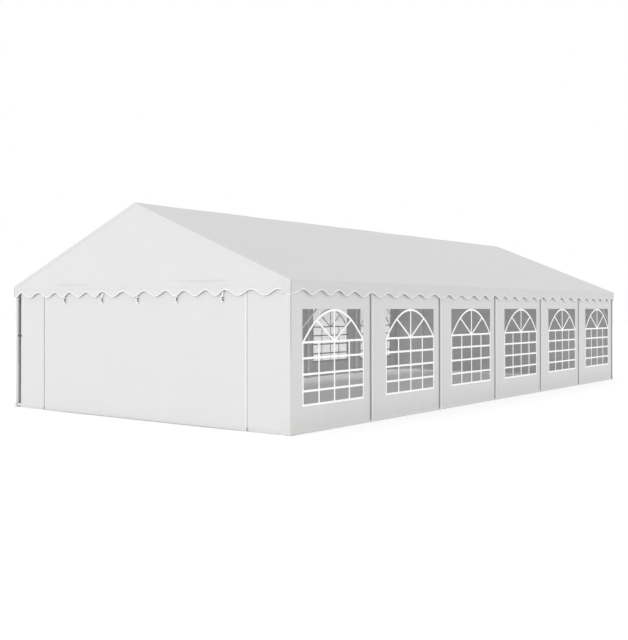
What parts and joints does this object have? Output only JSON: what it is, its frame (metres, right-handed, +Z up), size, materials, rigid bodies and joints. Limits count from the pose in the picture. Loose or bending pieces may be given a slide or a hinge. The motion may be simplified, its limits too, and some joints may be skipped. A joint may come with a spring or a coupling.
{
  "type": "marquee tent",
  "caption": "Frame marquee with a pitched fabric roof, scalloped valance, walls with arched clear windows and a zipped door in each gable.",
  "frame": {"origin": "on the ground, at the middle of the footprint", "axes": "+Y along the ridge to the back gable, +X to the right-hand long side seen from the front, +Z up"},
  "size_m": [6.04, 12.04, 3.245],
  "materials": {
    "frame_steel": "satin white powder coat",
    "rail_steel": "satin white powder coat",
    "wall_fabric": "matt coated weave",
    "door_fabric": "matt coated weave",
    "roof_fabric": "matt coated weave",
    "clear_film": "clear flexible film"
  },
  "bodies": {
    "root": {"door_back": "door_fabric", "door_front": "door_fabric", "eave_rail_left": "rail_steel", "eave_rail_right": "rail_steel", "gable_frame_back": "frame_steel", "gable_frame_front": "frame_steel", "gable_wall_back_left": "wall_fabric", "gable_wall_back_right": "wall_fabric", "gable_wall_front_left": "wall_fabric", "gable_wall_front_right": "wall_fabric", "ground_rail_left": "rail_steel", "ground_rail_right": "rail_steel", "post_left_1": "frame_steel", "post_left_2": "frame_steel", "post_left_3": "frame_steel", "post_left_4": "frame_steel", "post_left_5": "frame_steel", "post_left_6": "frame_steel", "post_left_7": "frame_steel", "post_right_1": "frame_steel", "post_right_2": "frame_steel", "post_right_3": "frame_steel", "post_right_4": "frame_steel", "post_right_5": "frame_steel", "post_right_6": "frame_steel", "post_right_7": "frame_steel", "purlin_left": "rail_steel", "purlin_right": "rail_steel", "rafter_pair_1": "frame_steel", "rafter_pair_2": "frame_steel", "rafter_pair_3": "frame_steel", "rafter_pair_4": "frame_steel", "rafter_pair_5": "frame_steel", "rafter_pair_6": "frame_steel", "rafter_pair_7": "frame_steel", "ridge_beam": "rail_steel", "roof_gable_back": "roof_fabric", "roof_gable_front": "roof_fabric", "roof_slope_left": "roof_fabric", "roof_slope_right": "roof_fabric", "side_wall_left_1": "wall_fabric", "side_wall_left_2": "wall_fabric", "side_wall_left_3": "wall_fabric", "side_wall_left_4": "wall_fabric", "side_wall_left_5": "wall_fabric", "side_wall_left_6": "wall_fabric", "side_wall_right_1": "wall_fabric", "side_wall_right_2": "wall_fabric", "side_wall_right_3": "wall_fabric", "side_wall_right_4": "wall_fabric", "side_wall_right_5": "wall_fabric", "side_wall_right_6": "wall_fabric", "valance_left": "roof_fabric", "valance_right": "roof_fabric", "window_film_left": "clear_film", "window_film_right": "clear_film"}
  },
  "joints": []
}
